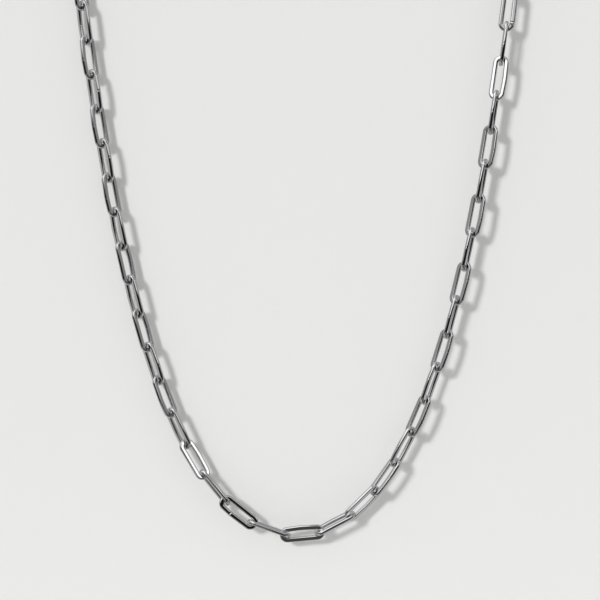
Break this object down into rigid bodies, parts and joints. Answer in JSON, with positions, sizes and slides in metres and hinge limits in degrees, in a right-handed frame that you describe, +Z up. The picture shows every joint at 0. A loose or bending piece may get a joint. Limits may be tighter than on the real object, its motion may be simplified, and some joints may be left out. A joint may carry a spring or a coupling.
{
  "type": "paperclip chain necklace",
  "caption": "Necklace chain of long oval flat-faced links, each turned a quarter turn to the next, hanging as a closed loop with a plain ring clasp behind the neck.",
  "frame": {"origin": "underside of the clasp at the top of the loop, where it lies on the back of the neck", "axes": "+Z up along the hanging loop, from its lowest link to the clasp; +X across the loop, to the right in the picture; +Y through the loop, away from the side that the picture shows"},
  "size_m": [0.1029, 0.005, 0.1835],
  "materials": {
    "chain_links": "polished steel with fine rubbed marks",
    "clasp_metal": "polished steel, a little duller than the links"
  },
  "bodies": {
    "root": {"left_chain": "chain_links", "right_chain": "chain_links", "clasp": "clasp_metal"}
  },
  "joints": []
}
